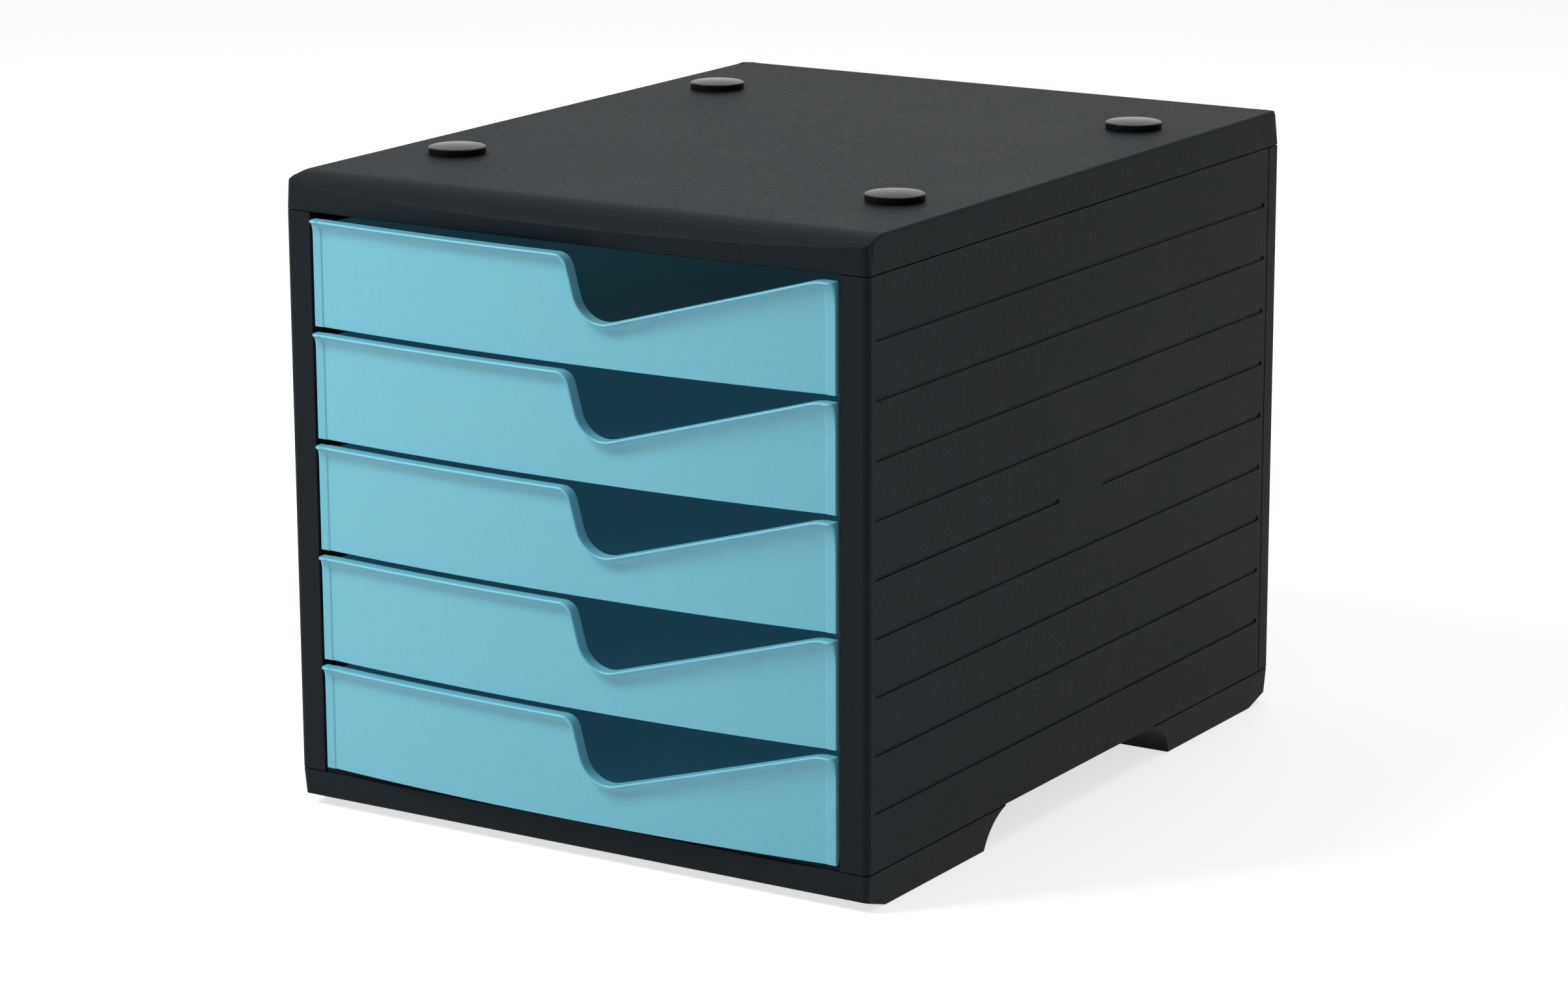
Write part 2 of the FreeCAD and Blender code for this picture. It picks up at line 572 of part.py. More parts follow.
def stacking_disc(label, across, along):
    """A domed disc on a stem that is pressed into the top cover."""
    body = document.addObject("PartDesign::Body", label)
    body.Label = label
    body.setExpression(".Placement.Base.x", across)
    body.setExpression(".Placement.Base.y", "%s + %s" % (FRONT_Y, along))
    body.setExpression(".Placement.Base.z", COVER_TOP)
    rim = "(Sizes.disc_diameter / 2)"
    stem = "(Sizes.disc_stem / 2)"
    shoulder = "(Sizes.disc_height - Sizes.disc_crown)"
    soft = "(Sizes.disc_crown / 2)"
    half = closed_sketch(body, label + "_section", "XZ_Plane", [
        ("0", "-Sizes.disc_stem_length"),
        (stem, "-Sizes.disc_stem_length"),
        (stem, "0"),
        (rim, "0"),
        (rim, "%s - %s" % (shoulder, soft)),
        ("%s - %s" % (rim, soft), shoulder),
        ("0", "Sizes.disc_height"),
    ], arcs={5: (bow_radius("%s - %s" % (rim, soft), "Sizes.disc_crown"),
                 ("(%s - %s) / 2" % (rim, soft), "Sizes.disc_height - Sizes.disc_crown / 4"))})
    turn = body.newObject("PartDesign::Revolution", label + "_turned")
    turn.Profile = half
    turn.ReferenceAxis = (origin_plane(body, "Z_Axis"), [""])
    turn.Angle = 360
    half.Visibility = False
    document.recompute()
    return body


# ---------------------------------------------------------------------------------------
# Drawers
# ---------------------------------------------------------------------------------------
def rounded_path(points, radii):
    """A wire in the XZ plane through points, with an arc at each inner point that has a radius."""
    edges = []
    start = points[0]
    for before, corner, after, radius in zip(points, points[1:], points[2:], radii):
        towards = (before - corner).normalize()
        away = (after - corner).normalize()
        half_angle = towards.getAngle(away) / 2
        run = radius / math.tan(half_angle)
        if run > 1e-6:
            first = corner + towards * run
            last = corner + away * run
            centre = corner + (towards + away).normalize() * (radius / math.sin(half_angle))
            middle = centre + (corner - centre).normalize() * radius
            edges.append(Part.makeLine(start, first))
            edges.append(Part.Arc(first, middle, last).toShape())
            start = last
        else:
            edges.append(Part.makeLine(start, corner))
            start = corner
    edges.append(Part.makeLine(start, points[-1]))
    return Part.Wire(edges)


def rim_path():
    """The upper edge of a drawer front: level, down into the scoop, up a slope, level."""
    half = value(FRONT_HALF)
    high = size("front_height")
    points = [
        V(-half, 0, high),
        V(size("scoop_start"), 0, high),
        V(size("scoop_low"), 0, size("scoop_floor")),
        V(size("scoop_end"), 0, high),
        V(half, 0, high),
    ]
    return rounded_path(points, [size("scoop_shoulder"), size("scoop_radius"), 0])


def bowed_sheet(reach):
    """An upright sheet with the plan of the drawer front, its face moved forward by reach."""
    half = value(FRONT_HALF)
    flat = half - size("front_strip")
    bow = size("front_bow")
    back = size("front_wall")
    outside = [
        Part.makeLine(V(-half, -reach, 0), V(-flat, -reach, 0)),
        Part.Arc(V(-flat, -reach, 0), V(0, -bow - reach, 0), V(flat, -reach, 0)).toShape(),
        Part.makeLine(V(flat, -reach, 0), V(half, -reach, 0)),
    ]
    inside = [
        Part.makeLine(V(half, -reach, 0), V(half, back, 0)),
        Part.makeLine(V(half, back, 0), V(flat, back, 0)),
        Part.Arc(V(flat, back, 0), V(0, back - bow, 0), V(-flat, back, 0)).toShape(),
        Part.makeLine(V(-flat, back, 0), V(-half, back, 0)),
        Part.makeLine(V(-half, back, 0), V(-half, -reach, 0)),
    ]
    face = Part.Face(Part.Wire(outside + inside))
    return face.extrude(V(0, 0, size("front_height")))


def slab(wire):
    """What a closed wire in the XZ plane sweeps across the whole thickness of a front."""
    room = size("front_bow") + size("rim_reach") + size("front_wall")
    face = Part.Face(wire)
    face.translate(V(0, -2 * room, 0))
    return face.extrude(V(0, 4 * room, 0))


def drawer_front():
    """The drawer front: a bowed sheet with a scoop, and a rim that flares forward over a cove."""
    half = value(FRONT_HALF)
    path = rim_path()
    sides = [
        Part.makeLine(V(half, 0, size("front_height")), V(half, 0, 0)),
        Part.makeLine(V(half, 0, 0), V(-half, 0, 0)),
        Part.makeLine(V(-half, 0, 0), V(-half, 0, size("front_height"))),
    ]
    sheet_shape = bowed_sheet(0).common(slab(Part.Wire(path.Edges + sides)))
    lower = path.makeOffset2D(size("rim_height"), 0, False, True)
    if lower.CenterOfMass.z > path.CenterOfMass.z:
        lower = path.makeOffset2D(-size("rim_height"), 0, False, True)
    upper_ends = sorted((path.OrderedVertexes[0].Point, path.OrderedVertexes[-1].Point), key=lambda p: p.x)
    lower_ends = sorted((lower.OrderedVertexes[0].Point, lower.OrderedVertexes[-1].Point), key=lambda p: p.x)
    band = Part.Wire(Part.__sortEdges__(path.Edges + lower.Edges + [
        Part.makeLine(upper_ends[0], lower_ends[0]),
        Part.makeLine(upper_ends[1], lower_ends[1]),
    ]))
    rim = bowed_sheet(size("rim_reach")).common(slab(band))
    front = sheet_shape.fuse(rim).removeSplitter()

    # hollow the inner corner under the rim
    under = []
    for edge in front.Edges:
        middle = edge.valueAt((edge.FirstParameter + edge.LastParameter) / 2)
        gap = lower.distToShape(Part.Vertex(V(middle.x, 0, middle.z)))[0]
        if gap < 0.02 and abs(middle.y - face_y(middle.x)) < 0.02:
            under.append(edge)
    return front.makeFillet(size("rim_cove"), under)


def face_y(across):
    """Y of the drawer front's face at a distance from its middle."""
    flat = value(FRONT_HALF) - size("front_strip")
    if abs(across) >= flat:
        return 0.0
    bow = size("front_bow")
    radius = (flat ** 2 + bow ** 2) / (2 * bow)
    return (radius - bow) - math.sqrt(radius ** 2 - across ** 2)


def tray():
    """The tray behind a drawer front: floor, sides and back, open at the front, with stop lugs."""
    body = document.addObject("PartDesign::Body", "tray")
    front = "Sizes.front_wall / 2"
    plan = closed_sketch(body, "tray_plan", "XY_Plane", [
        (TRAY_HALF, front),
        (TRAY_HALF, TRAY_BACK),
        ("-" + TRAY_HALF, TRAY_BACK),
        ("-" + TRAY_HALF, front),
    ], arcs={3: (bow_radius(TRAY_HALF, "Sizes.front_bow"), ("0", "%s - Sizes.front_bow" % front))})
    pad(body, "tray_block", plan, "Sizes.tray_height")
    fillet(body, "tray_outer_corners", "Sizes.tray_corner", upright_at(value(TRAY_HALF), value(TRAY_BACK)))
    inner_half = "(%s - Sizes.tray_wall)" % TRAY_HALF
    inner_back = "(%s - Sizes.tray_wall)" % TRAY_BACK
    ahead = "-(Sizes.front_bow + Sizes.front_wall) * 2"
    hollow = closed_sketch(body, "tray_hollow_plan", "XY_Plane", [
        (inner_half, ahead), (inner_half, inner_back),
        ("-" + inner_half, inner_back), ("-" + inner_half, ahead),
    ], level="Sizes.tray_floor")
    pocket(body, "tray_hollow", hollow, "Sizes.tray_height", backward=True)
    fillet(body, "tray_inner_corners", "Sizes.tray_corner - Sizes.tray_wall",
           upright_at(value(inner_half), value(inner_back)))
    stop_front = "(Sizes.post_depth + Sizes.stroke + Sizes.stop_gap)"
    for name, sign in (("right", ""), ("left", "-")):
        lug = closed_sketch(body, "stop_plan_" + name, "XY_Plane", [
            (sign + inner_half, stop_front),
            (sign + "(%s + Sizes.stop_reach)" % TRAY_HALF, stop_front),
            (sign + "(%s + Sizes.stop_reach)" % TRAY_HALF, stop_front + " + Sizes.stop_length / 2"),
            (sign + inner_half, stop_front + " + Sizes.stop_length * 2"),
        ], level="Sizes.stop_rise")
        pad(body, "stop_lug_" + name, lug, "Sizes.stop_height")
    return body


def drawers():
    """All drawers: the same moulding, one above the other."""
    front = document.addObject("Part::Feature", "drawer_front")
    front.Shape = drawer_front()
    tray_body = tray()
    made = []
    for number in range(int(size("drawer_count"))):
        label = "drawer_%d" % (number + 1)
        drawer = document.addObject("Part::Fuse", label)
        drawer.Label = label
        drawer.Base = front
        drawer.Tool = tray_body
        drawer.Refine = True
        drawer.setExpression(".Placement.Base.y", FRONT_Y)
        tiers_below = "(Sizes.drawer_count - %d)" % (number + 1)
        drawer.setExpression(".Placement.Base.z", "%s + %s * Sizes.tier_height" % (DRAWER_LOW, tiers_below))
        made.append(drawer)
    document.recompute()
    return made


# ---------------------------------------------------------------------------------------
# The whole object
# ---------------------------------------------------------------------------------------
pieces = [
    top_cover(),
    side_panel("side_panel_right", 1),
    side_panel("side_panel_left", -1),
    rear_panel(),
    base(),
]
DISC_LABELS = [
    "stacking_disc_front_left", "stacking_disc_front_right",
    "stacking_disc_rear_left", "stacking_disc_rear_right",
]
for disc_label, (disc_across, disc_along) in zip(DISC_LABELS, disc_places()):
    pieces.append(stacking_disc(disc_label, disc_across, disc_along))
pieces += drawers()
document.recompute()

for item in document.Objects:
    if "Invalid" in item.State or "Error" in item.State:
        raise RuntimeError("%s failed: %s" % (item.Label, item.State))
os.makedirs("parts", exist_ok=True)
for piece in pieces:
    if piece.Shape.isNull() or not piece.Shape.isValid():
        raise RuntimeError("%s has no valid shape" % piece.Label)
for piece in pieces:
    piece.Shape.exportStep(os.path.join("parts", piece.Label + ".step"))
    print("%-28s %d solid(s) %9.0f mm3" % (piece.Label, len(piece.Shape.Solids), piece.Shape.Volume))
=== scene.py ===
import logging
import math
from dataclasses import dataclass, field
from enum import Enum

import bmesh
import bpy
from mathutils import Matrix, Vector
from mathutils.bvhtree import BVHTree


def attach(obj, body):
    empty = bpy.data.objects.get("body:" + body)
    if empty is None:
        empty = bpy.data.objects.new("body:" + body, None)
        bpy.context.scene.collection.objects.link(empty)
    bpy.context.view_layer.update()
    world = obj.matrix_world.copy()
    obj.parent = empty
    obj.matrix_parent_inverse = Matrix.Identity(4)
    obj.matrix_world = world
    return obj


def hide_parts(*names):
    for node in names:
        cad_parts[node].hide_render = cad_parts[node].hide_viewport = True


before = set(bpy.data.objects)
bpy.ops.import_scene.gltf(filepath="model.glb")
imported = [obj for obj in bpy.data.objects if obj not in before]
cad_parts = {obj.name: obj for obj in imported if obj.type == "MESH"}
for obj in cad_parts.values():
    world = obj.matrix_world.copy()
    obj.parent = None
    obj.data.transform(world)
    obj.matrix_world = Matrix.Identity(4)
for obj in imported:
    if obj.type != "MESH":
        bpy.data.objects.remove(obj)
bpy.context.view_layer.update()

log = logging.getLogger("drawer_box")

MM = 0.001
# Points closer than this are one point.
WELD = 0.001 * MM
# Faces that turn less than this lie in one plane.
FLAT = math.radians(0.02)
# Edges that turn more than this are rounded.
SHARP = math.radians(32)
# Steps across a rounded edge of a moulding.
EDGE_STEPS = 3
# How strongly large faces draw the normals of their edges.
NORMAL_PULL = 60
# The middle of what a noise texture gives.
NOISE_MIDDLE = 0.5
# The fewest steps along a stretch of a drawer's rim.
FEWEST_STEPS = 4

Colour = tuple[float, float, float]


# --- Shared shader groups --------------------------------------------------------------


class Sockets(Enum):
    """Kinds of socket that a shader group can have."""

    NUMBER = "NodeSocketFloat"


def new_group(name: str, inputs: dict[str, tuple[Sockets, object]],
              outputs: dict[str, Sockets]) -> bpy.types.NodeTree:
    """Makes an empty shader group with named sockets.

    Args:
        name: The group's name.
        inputs: Socket name to its kind and default.
        outputs: Socket name to its kind.

    Returns:
        The group, with its input and output nodes in place.
    """
    group = bpy.data.node_groups.new(name, "ShaderNodeTree")
    for label, (kind, default) in inputs.items():
        socket = group.interface.new_socket(label, in_out="INPUT", socket_type=kind.value)
        socket.default_value = default
    for label, kind in outputs.items():
        group.interface.new_socket(label, in_out="OUTPUT", socket_type=kind.value)
    group.nodes.new("NodeGroupInput").name = "in"
    group.nodes.new("NodeGroupOutput").name = "out"
    return group


def add_node(tree: bpy.types.NodeTree, kind: str, values: dict[str, object] | None = None,
             **settings: object) -> bpy.types.Node:
    """Adds a node to a tree.

    Args:
        tree: The tree that gets the node.
        kind: The node's type, such as ShaderNodeTexNoise.
        values: Default values of its input sockets, by name or number.
        **settings: The node's own settings.

    Returns:
        The node.
    """
    node = tree.nodes.new(kind)
    for key, setting in settings.items():
        setattr(node, key, setting)
    for key, number in (values or {}).items():
        node.inputs[key].default_value = number
    return node


def math_node(tree: bpy.types.NodeTree, operation: str, first: object,
              second: object) -> bpy.types.NodeSocket:
    """Adds a Math node.

    Args:
        tree: The tree that gets the node.
        operation: The Math node's operation.
        first: A number or the socket that feeds the first input.
        second: A number or the socket that feeds the second input.

    Returns:
        The node's output socket.
    """
    node = add_node(tree, "ShaderNodeMath", operation=operation)
    for slot, source in enumerate((first, second)):
        if isinstance(source, bpy.types.NodeSocket):
            tree.links.new(source, node.inputs[slot])
        else:
            node.inputs[slot].default_value = source
    return node.outputs[0]


def moulded_grain() -> bpy.types.NodeTree:
    """Builds the fine grain that an etched mould leaves on plastic.

    Returns:
        A group with the inputs Size (metres) and Strength (0 to 1), and the outputs Height
        (0 to 1) and Tone (about 1), a factor for colour and roughness.
    """
    group = new_group("moulded_grain",
                      {"Size": (Sockets.NUMBER, 0.0004), "Strength": (Sockets.NUMBER, 1.0)},
                      {"Height": Sockets.NUMBER, "Tone": Sockets.NUMBER})
    source, sink = group.nodes["in"], group.nodes["out"]
    place = add_node(group, "ShaderNodeTexCoord")
    pitch = math_node(group, "DIVIDE", 1.0, source.outputs["Size"])
    noise = add_node(group, "ShaderNodeTexNoise", {"Detail": 2.0, "Roughness": 0.6})
    cells = add_node(group, "ShaderNodeTexVoronoi", feature="SMOOTH_F1")
    for texture in (noise, cells):
        group.links.new(place.outputs["Object"], texture.inputs["Vector"])
        group.links.new(pitch, texture.inputs["Scale"])
    mixed = math_node(group, "MULTIPLY", noise.outputs["Fac"], cells.outputs["Distance"])
    height = math_node(group, "MULTIPLY", mixed, source.outputs["Strength"])
    centred = math_node(group, "SUBTRACT", noise.outputs["Fac"], NOISE_MIDDLE)
    swing = math_node(group, "MULTIPLY", centred, source.outputs["Strength"])
    group.links.new(height, sink.inputs["Height"])
    group.links.new(math_node(group, "ADD", swing, 1.0), sink.inputs["Tone"])
    return group


def handling_marks() -> bpy.types.NodeTree:
    """Builds the soft patches that hands and wiping leave on a surface.

    Returns:
        A group with the inputs Size (metres) and Strength, and the output Patch, 0 to
        Strength.
    """
    group = new_group("handling_marks",
                      {"Size": (Sockets.NUMBER, 0.06), "Strength": (Sockets.NUMBER, 0.1)},
                      {"Patch": Sockets.NUMBER})
    source, sink = group.nodes["in"], group.nodes["out"]
    place = add_node(group, "ShaderNodeTexCoord")
    pitch = math_node(group, "DIVIDE", 1.0, source.outputs["Size"])
    cloud = add_node(group, "ShaderNodeTexNoise",
                     {"Detail": 4.0, "Roughness": 0.55, "Distortion": 0.4})
    group.links.new(place.outputs["Object"], cloud.inputs["Vector"])
    group.links.new(pitch, cloud.inputs["Scale"])
    band = add_node(group, "ShaderNodeMapRange", {"From Min": 0.42, "From Max": 0.72, "To Max": 1.0},
                    interpolation_type="SMOOTHSTEP")
    group.links.new(cloud.outputs["Fac"], band.inputs["Value"])
    patch = math_node(group, "MULTIPLY", band.outputs["Result"], source.outputs["Strength"])
    group.links.new(patch, sink.inputs["Patch"])
    return group


# --- Finishes --------------------------------------------------------------------------


@dataclass(frozen=True)
class MouldedPlastic:
    """A moulded plastic with an etched or polished skin.

    Attributes:
        name: The material's name.
        slot: The record's material slot, not used.
        colour: The plastic's own colour, linear.
        roughness: Roughness of its skin.
        specular: Specular level of its skin.
        grain_size: Distance between grains, metres.
        grain_strength: How much the grain changes tone and height, 0 to 1.
        grain_depth: Depth of the grain, metres.
        mark_strength: How much handling changes the roughness.
        glow: Share of its colour that the plastic emits, a painted glow that stands in for light
            scattered inside the plastic and lifts the drawers' shaded insides.
    """

    name: str
    slot: str
    colour: Colour
    roughness: float
    specular: float = 0.5
    grain_size: float = 0.0005
    grain_strength: float = 0.5
    grain_depth: float = 0.00003
    mark_strength: float = 0.06
    glow: float = 0.0

    def material(self, groups: dict[str, bpy.types.NodeTree]) -> bpy.types.Material:
        """Builds the finish as a node material.

        Args:
            groups: The shared shader groups by name.

        Returns:
            The material.
        """
        material = bpy.data.materials.new(self.name)
        material.use_nodes = True
        material.diffuse_color = (*self.colour, 1.0)
        tree = material.node_tree
        shader = tree.nodes["Principled BSDF"]
        shader.inputs["Specular IOR Level"].default_value = self.specular

        grain = add_node(tree, "ShaderNodeGroup", node_tree=groups["grain"])
        grain.inputs["Size"].default_value = self.grain_size
        grain.inputs["Strength"].default_value = self.grain_strength
        marks = add_node(tree, "ShaderNodeGroup", node_tree=groups["marks"])
        marks.inputs["Strength"].default_value = self.mark_strength

        tint = add_node(tree, "ShaderNodeMix", data_type="RGBA", blend_type="MULTIPLY")
        tint.inputs["Factor"].default_value = 1.0
        tint.inputs["A"].default_value = (*self.colour, 1.0)
        tone = add_node(tree, "ShaderNodeCombineColor")
        for channel in ("Red", "Green", "Blue"):
            tree.links.new(grain.outputs["Tone"], tone.inputs[channel])
        tree.links.new(tone.outputs["Color"], tint.inputs["B"])
        tree.links.new(tint.outputs["Result"], shader.inputs["Base Color"])
        # Painted light: the plastic emits its own colour at the glow strength, a glow that stands in
        # for light reaching its shaded insides.
        tree.links.new(tint.outputs["Result"], shader.inputs["Emission Color"])
        shader.inputs["Emission Strength"].default_value = self.glow

        rough = math_node(tree, "MULTIPLY", grain.outputs["Tone"], self.roughness)
        rough = math_node(tree, "SUBTRACT", rough, marks.outputs["Patch"])
        tree.links.new(rough, shader.inputs["Roughness"])
        bump = add_node(tree, "ShaderNodeBump", {"Strength": 1.0, "Distance": self.grain_depth})
        tree.links.new(grain.outputs["Height"], bump.inputs["Height"])
        tree.links.new(bump.outputs["Normal"], shader.inputs["Normal"])
        return material


HOUSING_BLACK = MouldedPlastic("housing_black", "housing_plastic", (0.0076, 0.0119, 0.0150), 0.56,
                               specular=0.085, grain_size=0.0008, grain_strength=0.9,
                               grain_depth=0.00016, mark_strength=0.02)
DISC_BLACK = MouldedPlastic("disc_black", "disc_plastic", (0.006, 0.006, 0.007), 0.10,
                            specular=0.05, grain_strength=0.1, grain_depth=0.000004)
# The drawers' glow is painted light: they emit a share of their colour so that their shaded insides
# read dark teal and not black.
DRAWER_TURQUOISE = MouldedPlastic("drawer_turquoise", "drawer_plastic", (0.16, 0.50, 0.62), 0.38,
                                  grain_size=0.0006, grain_strength=0.25, grain_depth=0.00004,
                                  glow=0.036)


# --- Modelling helpers -----------------------------------------------------------------


def only(piece: bpy.types.Object) -> None:
    """Selects one object and makes it active.

    Args:
        piece: The object.
    """
    bpy.ops.object.select_all(action="DESELECT")
    piece.select_set(True)
    bpy.context.view_layer.objects.active = piece


def copy_blank(node: str, name: str) -> bpy.types.Object:
    """Copies a CAD node's mesh as the blank of a finished piece.

    Args:
        node: The CAD node.
        name: The new piece's name.

    Returns:
        The blank, with shared vertices and flat faces in one piece.
    """
    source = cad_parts[node]
    mesh = source.data.copy()
    mesh.name = name
    mesh.materials.clear()
    blank = bpy.data.objects.new(name, mesh)
    bpy.context.scene.collection.objects.link(blank)
    only(blank)
    bpy.ops.mesh.customdata_custom_splitnormals_clear()
    bpy.ops.object.mode_set(mode="EDIT")
    bpy.ops.mesh.select_all(action="SELECT")
    bpy.ops.mesh.remove_doubles(threshold=WELD)
    bpy.ops.mesh.dissolve_limited(angle_limit=FLAT)
    bpy.ops.object.mode_set(mode="OBJECT")
    return blank


def smooth_faces(piece: bpy.types.Object, turn: float) -> None:
    """Smooths a piece and lets its large faces keep their own normals.

    Args:
        piece: The piece.
        turn: Edges that turn more than this many degrees stay sharp.
    """
    only(piece)
    bpy.ops.object.shade_smooth_by_angle(angle=math.radians(turn))
    normals = piece.modifiers.new("normals", "WEIGHTED_NORMAL")
    normals.weight = NORMAL_PULL
    normals.keep_sharp = True
    bpy.ops.object.modifier_apply(modifier=normals.name)


def soften_edges(piece: bpy.types.Object, radius: float, by_weight: bool = False) -> None:
    """Rounds a moulding's edges, keeps it inside its blank and smooths its faces.

    Args:
        piece: The moulding.
        radius: Radius of the edges, metres.
        by_weight: Rounds the edges that have a weight, each by its share of radius, and not
            all the sharp ones.
    """
    only(piece)
    blank = BVHTree.FromPolygons([vertex.co.copy() for vertex in piece.data.vertices],
                                 [tuple(side.vertices) for side in piece.data.polygons])
    bevel = piece.modifiers.new("edges", "BEVEL")
    bevel.width = radius
    bevel.segments = EDGE_STEPS
    bevel.limit_method = "WEIGHT" if by_weight else "ANGLE"
    bevel.angle_limit = SHARP
    bevel.use_clamp_overlap = False
    bevel.miter_outer = "MITER_SHARP"
    bpy.ops.object.modifier_apply(modifier=bevel.name)
    for vertex in piece.data.vertices:
        place, normal, _, _ = blank.find_nearest(vertex.co)
        if (vertex.co - place).dot(normal) > WELD:
            vertex.co = place
    smooth_faces(piece, 38)


def finish_piece(piece: bpy.types.Object, material: bpy.types.Material, body: str,
                 node: str) -> None:
    """Dresses a piece and ties it to its place in the frame.

    Args:
        piece: The finished mesh.
        material: Its material.
        body: The body that it rides on.
        node: The CAD node that it stands for.
    """
    piece.data.materials.clear()
    piece.data.materials.append(material)
    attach(piece, body)
    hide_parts(node)
    log.info("%s: %d faces, rides on %s", piece.name, len(piece.data.polygons), body)


# --- Sub-assemblies --------------------------------------------------------------------


@dataclass
class Housing:
    """The five black mouldings that hold the drawers.

    Attributes:
        edge: Radius of an ordinary moulded edge, metres.
        crest: Radius along the top of the cover, metres.
        crest_least: Share of its radius that the crest keeps at its front end.
        top: Level of the cover's top face, metres.
        corner_across: Beyond this place across, the cover's front corners begin.
        corner_back: In front of this place too, metres.
        corner_drop: How far below the top an edge must lie to be the cover's lower one.
        rim_across: Beyond this place across, an edge belongs to the cover's top rim.
        rim_back: Behind this place, an edge belongs to that rim too.
        rim_front: Where the crest has narrowed to an ordinary edge, metres.
        rim_fade: Length over which it narrows, metres.
        rim_drop: How far the rim falls over the round at the front, metres.
        seams: Levels of the joints, whose edges are hidden, metres.
        seam_reach: How near a level an edge must lie to belong to a joint, metres.
        mouldings: The CAD nodes, from the top down.
    """

    edge: float = 0.35 * MM
    crest: float = 1.7 * MM
    crest_least: float = 0.06
    top: float = 266.0 * MM
    corner_across: float = 131.0 * MM
    corner_back: float = -163.2 * MM
    corner_drop: float = 10.0 * MM
    rim_across: float = 134.5 * MM
    rim_back: float = 174.0 * MM
    rim_front: float = -164.95 * MM
    rim_fade: float = 12.5 * MM
    rim_drop: float = 3.0 * MM
    seams: tuple[float, float] = (16.0 * MM, 251.0 * MM)
    seam_reach: float = 0.1 * MM
    mouldings: tuple[str, ...] = (
        "top_cover", "side_panel_right", "side_panel_left", "rear_panel", "base")

    def crest_share(self, edge: bmesh.types.BMEdge) -> float:
        """Gives an edge's share of the crest's radius.

        Args:
            edge: An edge of the cover.

        Returns:
            The share, which is 0 away from the cover's top rim.
        """
        for vertex in edge.verts:
            place = vertex.co
            outside = abs(place.x) > self.rim_across or place.y > self.rim_back
            if place.z < self.top - self.rim_drop or not outside:
                return 0.0
        ahead = min(vertex.co.y for vertex in edge.verts) - self.rim_front
        if ahead < 0.0:
            return 0.0
        return self.crest_least + (1 - self.crest_least) * min(1.0, ahead / self.rim_fade)

    def weigh_edges(self, piece: bpy.types.Object) -> None:
        """Gives each outward edge of a moulding its share of the crest's radius.

        Args:
            piece: The moulding, which is named for its CAD node.
        """
        shape = bmesh.new()
        shape.from_mesh(piece.data)
        weights = shape.edges.layers.float.new("bevel_weight_edge")
        for edge in shape.edges:
            if not edge.is_manifold or not edge.is_convex:
                continue
            if edge.calc_face_angle(0.0) < SHARP:
                continue
            levels = [vertex.co.z for vertex in edge.verts]
            hidden = any(max(abs(level - seam) for level in levels) < self.seam_reach
                         for seam in self.seams)
            if hidden and piece.name.startswith(("top_cover", "base")):
                continue
            if piece.name.startswith("top_cover"):
                inside = [abs(vertex.co.x) > self.corner_across and vertex.co.y < self.corner_back
                          for vertex in edge.verts]
                high = min(levels) > self.top - self.corner_drop
                corner = any(inside) if high else all(inside)
                edge[weights] = 0.0 if corner else self.crest_share(edge) or self.edge / self.crest
            else:
                edge[weights] = self.edge / self.crest
        shape.to_mesh(piece.data)
        shape.free()

    def build(self, material: bpy.types.Material) -> None:
        """Builds every moulding of the housing.

        Args:
            material: Its finish.
        """
        for node in self.mouldings:
            piece = copy_blank(node, node + "_moulding")
            self.weigh_edges(piece)
            soften_edges(piece, self.crest, by_weight=True)
            finish_piece(piece, material, "housing", node)


@dataclass
class StackingDiscs:
    """The four glossy discs pressed into the top cover.

    Attributes:
        edge: Radius of a disc's edges, metres.
        corners: Where the discs lie.
    """

    edge: float = 0.3 * MM
    corners: tuple[str, ...] = ("front_left", "front_right", "rear_left", "rear_right")

    def build(self, material: bpy.types.Material) -> None:
        """Builds the four discs.

        Args:
            material: Their finish.
        """
        for corner in self.corners:
            node = "stacking_disc_" + corner
            piece = copy_blank(node, "disc_" + corner)
            soften_edges(piece, self.edge)
            finish_piece(piece, material, "housing", node)


def quarter(steps: int) -> list[float]:
    """Lists the angles from 0 to 90 degrees in even steps, in radians."""
    return [math.radians(90 * number / steps) for number in range(steps + 1)]


@dataclass(frozen=True)
class Station:
    """One place along the rim of a drawer front, seen from the front.

    Attributes:
        place: Across and up, metres.
        inward: Direction into the front, square to the rim.
        cove: How far the hollow under the rim reaches, metres.
    """

    place: Vector
    inward: Vector
    cove: float


